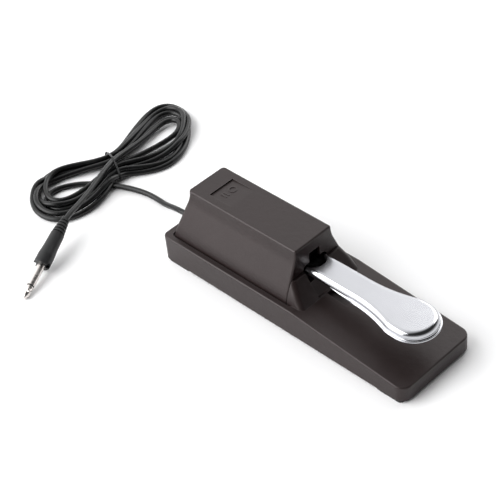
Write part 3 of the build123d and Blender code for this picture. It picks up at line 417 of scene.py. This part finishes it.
def waist_slots(places, side):
    """Each turn's slot in the waist, as its shift across and its height: outer turns lie outside."""
    order = sorted(range(len(places)), key=lambda turn: places[turn])
    slots = [None] * len(places)
    for rank, turn in enumerate(order):
        slots[turn] = (side * WAIST_PITCH * (len(places) - 1 - rank), WAIST_LAYERS[rank % 2])
    return slots


def beside_waist(lean, across, height, ahead=0.0):
    """A point in the upright plane through the waist that leans by so many degrees, or ahead of it."""
    turn = radians(lean)
    return (WAIST[0] + across * cos(turn) - ahead * sin(turn),
            WAIST[1] + across * sin(turn) + ahead * cos(turn), height)


def hank_turns():
    """The hank's turns as laid out, and which of the points lie in the waist."""
    right = waist_slots([places[0] for places, _ in FAR_TURNS], 1)
    left = waist_slots([places[2] for places, _ in FAR_TURNS], -1)
    left[-1] = LAST_IN_WAIST
    points = LEAD_IN + lobe_points(NEAR_STATIONS, NEAR_TURNS[0])[LEAD_STATION:]
    tied = []
    for index, turn in enumerate(FAR_TURNS):
        tied.append(len(points))
        points.append(beside_waist(WAIST_LEAN, *right[index]))
        points += lobe_points(FAR_STATIONS, turn)
        tied.append(len(points))
        points.append(beside_waist(WAIST_LEAN, *left[index]))
        if turn is not FAR_TURNS[-1]:
            points += lobe_points(NEAR_STATIONS, NEAR_TURNS[index + 1])
    return points, tied


def smooth_line(points, gap):
    """The smooth line that control points draw, as points a gap apart, and their places among them."""
    control = np.array(points, float)
    steps = np.linspace(0, 1, SMOOTH_STEPS, endpoint=False)[:, None]
    line, place = [], []
    for index in range(1, len(control) - 1):
        before, here, after = control[index - 1:index + 2]
        line.append(((1 - steps) ** 2 * before + (1 + 2 * steps - 2 * steps ** 2) * here
                     + steps ** 2 * after) / 2)
        place.append(index - 0.5 + steps[:, 0])
    line, place = np.vstack(line), np.concatenate(place)
    length = np.concatenate([[0], np.cumsum(np.linalg.norm(np.diff(line, axis=0), axis=1))])
    even = np.linspace(0, length[-1], int(length[-1] / gap) + 1)
    spread = np.column_stack([np.interp(even, length, line[:, axis]) for axis in range(3)])
    return spread, np.interp(even, length, place)


def keep_apart(line, free, apart):
    """Moves points of different strands until they are a cord's diameter from each other."""
    squares = (line * line).sum(1)
    gaps = squares[:, None] + squares[None] - 2 * line @ line.T
    first, second = np.nonzero((gaps < CORD_DIAMETER ** 2) & apart)
    if not len(first):
        return
    across = line[second] - line[first]
    length = np.maximum(np.linalg.norm(across, axis=1), 1e-6)[:, None]
    push = (CORD_DIAMETER - length) * 0.5 * across / length
    move, shares = np.zeros_like(line), np.ones(len(line))
    np.add.at(move, first, -push)
    np.add.at(move, second, push)
    np.add.at(shares, first, 0.5)
    np.add.at(shares, second, 0.5)
    line += move / shares[:, None] * free


def settle(line, held):
    """Lets the turns sink, stiffen and rest on each other, while the tie holds the waist."""
    start = line.copy()
    index = np.arange(len(line))
    apart = np.triu(np.abs(index[:, None] - index[None, :]) > SETTLE_NEAR)
    rest = np.linalg.norm(np.diff(line, axis=0), axis=1)[:, None]
    free = np.ones((len(line), 1))
    free[:SETTLE_ENDS] = free[-SETTLE_ENDS:] = 0
    level = SETTLE_HOME + SETTLE_HELD[0] * held[:, None]
    home = np.hstack([level, level, SETTLE_HELD[1] * held[:, None]])
    for _ in range(SETTLE_STEPS):
        move = np.zeros_like(line)
        move[1:-1] += ((line[:-2] + line[2:]) / 2 - line[1:-1]) * SETTLE_BEND[0]
        move[2:-2] += ((line[:-4] + line[4:]) / 2 - line[2:-2]) * SETTLE_BEND[1]
        move[:, 2] -= SETTLE_SINK
        move += (start - line) * home
        line += move * free
        for _ in range(SETTLE_ROUNDS):
            step = line[1:] - line[:-1]
            length = np.linalg.norm(step, axis=1)[:, None]
            pull = step / length * (length - rest) * SETTLE_PULL
            line[:-1] += pull * free[:-1]
            line[1:] -= pull * free[1:]
            keep_apart(line, free, apart)
            line[:, 2] = np.maximum(line[:, 2], CORD_DIAMETER / 2 + FLOOR_GAP)
    return line


def settled_hank():
    """The settled line, with some of the lead and the tail, and which of its points are the hank's."""
    turns, tied = hank_turns()
    ahead = LEAD_ROUTE[-3:]
    first, last = len(ahead), len(ahead) + len(turns) - 1
    line, place = smooth_line(ahead + turns + TAIL_ROUTE[::-1], SETTLE_GAP)
    held = np.zeros(len(line))
    for index in tied:
        held = np.maximum(held, 1 - np.abs(place - (index + first)) / HELD_REACH)
    inside = (place > first - 0.3) & (place < last + 0.2)
    return settle(line, held), inside


def strands_at_tie(line):
    """Where the strands cross the tie's plane, as distances across the waist and heights."""
    turn = radians(TIE_LEAN)
    ahead = (line[:, :2] - WAIST) @ np.array([-sin(turn), cos(turn)])
    across = (line[:, :2] - WAIST) @ np.array([cos(turn), sin(turn)])
    first = np.nonzero(ahead[:-1] * ahead[1:] < 0)[0]
    share = ahead[first] / (ahead[first] - ahead[first + 1])
    found = [(across[index] + part * (across[index + 1] - across[index]),
              line[index, 2] + part * (line[index + 1, 2] - line[index, 2]))
             for index, part in zip(first, share)]
    return np.array([point for point in found if abs(point[0]) < TIE_SPAN])


# ---- cord and tie --------------------------------------------------------------------------------
def new_tube(name, radius, roundness):
    """Curve data for a round rod with closed ends, still without splines."""
    data = bpy.data.curves.new(name, "CURVE")
    data.dimensions = "3D"
    data.bevel_depth = radius * MM
    data.bevel_resolution = roundness
    data.use_fill_caps = True
    return data


def add_spline(data, kind, points):
    """A spline with these points in millimetres."""
    spline = data.splines.new(kind)
    spline.points.add(len(points) - 1)
    for point, place in zip(spline.points, points):
        point.co = (place[0] * MM, place[1] * MM, place[2] * MM, 1.0)
    return spline


def add_smooth_spline(data, points, resolution, closed=False):
    """A smooth spline, either closed or from the first point to the last."""
    spline = add_spline(data, "NURBS", points)
    spline.order_u = 3
    spline.use_cyclic_u = closed
    spline.use_endpoint_u = not closed
    spline.resolution_u = resolution


def tie_point(across, height, ahead=0.0):
    """A point of the tie's wire, which stays above the floor."""
    return beside_waist(TIE_LEAN, across, max(height, TIE_RADIUS + TIE_LIFT), ahead)


def tie_end(start, phase):
    """One of the tie's two ends, wound round the other away from the strands."""
    radius, rate = TIE_TWIST
    out, up = TIE_END_SLOPE
    return [tie_point(start[0] + along * out,
                      start[1] + TIE_END_RISE + along * up + radius * cos(along * rate + phase),
                      radius * sin(along * rate + phase))
            for along in np.linspace(*TIE_ENDS, TIE_END_POINTS)]


def make_tie(made, line):
    """A plastic-covered wire drawn round the strands, its two ends twisted together at the left."""
    strands = strands_at_tie(line)
    reach = CORD_DIAMETER / 2 + TIE_RADIUS - TIE_SQUEEZE
    loop = []
    for turn in np.linspace(0, 2 * pi, TIE_POINTS, endpoint=False):
        way = np.array([cos(turn), sin(turn)])
        loop.append(tie_point(*(strands[np.argmax(strands @ way)] + reach * way)))
    start = strands[np.argmin(strands[:, 0])] - (reach, 0)
    data = new_tube("tie", TIE_RADIUS, 4)
    add_smooth_spline(data, loop, 4, closed=True)
    for phase in (0.0, pi):
        add_smooth_spline(data, tie_end(start, phase), 4)
    data.materials.append(made["tie_black"])
    tie = show("tie", data)
    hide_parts("cord_tie")
    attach(tie, "base")


def make_cord(made, hank):
    """The whole cord as one smooth spline from the relief to the plug."""
    data = new_tube("cord", CORD_DIAMETER / 2, 5)
    add_smooth_spline(data, LEAD_ROUTE + hank + TAIL_ROUTE[::-1], 5)
    data.materials.append(made["cord_pvc"])
    cord = show("cord", data)
    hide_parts("cord_lead", "cord_hank", "cord_tail")
    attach(cord, "base")
    return cord


# ---- return spring -------------------------------------------------------------------------------
def make_spring(made):
    """The lever's compression spring with closed ends, drawn at one fixed length; the real one shortens
    as the lever goes down.
    """
    low, high = SPRING_ENDS
    coil = []
    for share in np.linspace(0, 1, SPRING_TURNS * SPRING_TURN_POINTS + 1):
        turn = 2 * pi * SPRING_TURNS * share
        rise = share - SPRING_CLOSED * sin(2 * pi * share)
        coil.append((SPRING_X + SPRING_RADIUS * cos(turn), SPRING_RADIUS * sin(turn),
                     low + (high - low) * rise))
    data = new_tube("spring_path", SPRING_WIRE / 2, 3)
    add_spline(data, "POLY", coil)
    path = show("spring_path", data)
    bpy.context.view_layer.update()
    mesh = bpy.data.meshes.new_from_object(path.evaluated_get(bpy.context.evaluated_depsgraph_get()))
    bpy.data.objects.remove(path)
    mesh.materials.clear()
    mesh.materials.append(made["ground_steel"])
    mesh.shade_smooth()
    spring = show("spring", mesh)
    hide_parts("return_spring")
    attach(spring, "base")
    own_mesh(spring)


# ---- floor and light -----------------------------------------------------------------------------
def make_floor():
    """A wide pale floor."""
    mesh = bpy.data.meshes.new("floor")
    corners = [(-1, -1), (1, -1), (1, 1), (-1, 1)]
    mesh.from_pydata([(x * FLOOR_HALF, y * FLOOR_HALF, 0) for x, y in corners], [], [(0, 1, 2, 3)])
    floor = show("floor", mesh)
    paint = Paint("floor_paper", (0.96, 0.96, 0.965), 0.8)
    paint.colour(paint.ramp(paint.noise(0.2), [(0.3, (0.955, 0.955, 0.96)), (0.7, (0.965, 0.965, 0.97))]))
    mesh.materials.append(paint.material)


def make_light(name, place, size, power):
    """A square soft light aimed at the pedal."""
    data = bpy.data.lights.new(name, "AREA")
    data.shape = "SQUARE"
    data.size = size
    data.energy = power
    light = show(name, data)
    light.location = place
    light.rotation_euler = aimed(place, LIGHT_AIM).to_euler()


def make_studio():
    """A bright backdrop behind that fades overhead and in front, a pale horizon and two soft lights."""
    world = bpy.data.worlds.new("studio")
    SCENE.world = world
    world.use_nodes = True
    nodes = Nodes(world.node_tree)

    def along(direction):
        dot = nodes.node("ShaderNodeVectorMath", operation="DOT_PRODUCT")
        nodes.link(nodes.node("ShaderNodeTexCoord").outputs["Generated"], dot, 0)
        nodes.set(dot, 1, direction)
        return dot.outputs["Value"]

    bright = nodes.span(along(BACKDROP_WAY), -0.10, 0.68, 0.04, 1.42, interpolation_type="SMOOTHSTEP")
    low = nodes.span(along((0, 0, 1)), 0.08, 0.52, 0.62, 0.0, interpolation_type="SMOOTHSTEP")
    brighter = nodes.node("ShaderNodeMath", operation="MAXIMUM")
    nodes.link(bright, brighter, 0)
    nodes.link(low, brighter, 1)
    background = world.node_tree.nodes["Background"]
    nodes.link(brighter.outputs[0], background, "Strength")
    nodes.set(background, "Color", (1.0, 1.0, 1.0, 1.0))
    for light in LIGHTS:
        make_light(*light)
    SCENE.view_settings.view_transform = "Standard"
    SCENE.view_settings.look = "None"


make_camera()
materials = make_materials()
paint_nodes(materials)
settled, in_hank = settled_hank()
hank = [tuple(point) for point in settled[in_hank][::2]]
cord = make_cord(materials, hank)
make_tie(materials, settled)
make_spring(materials)
make_floor()
make_studio()
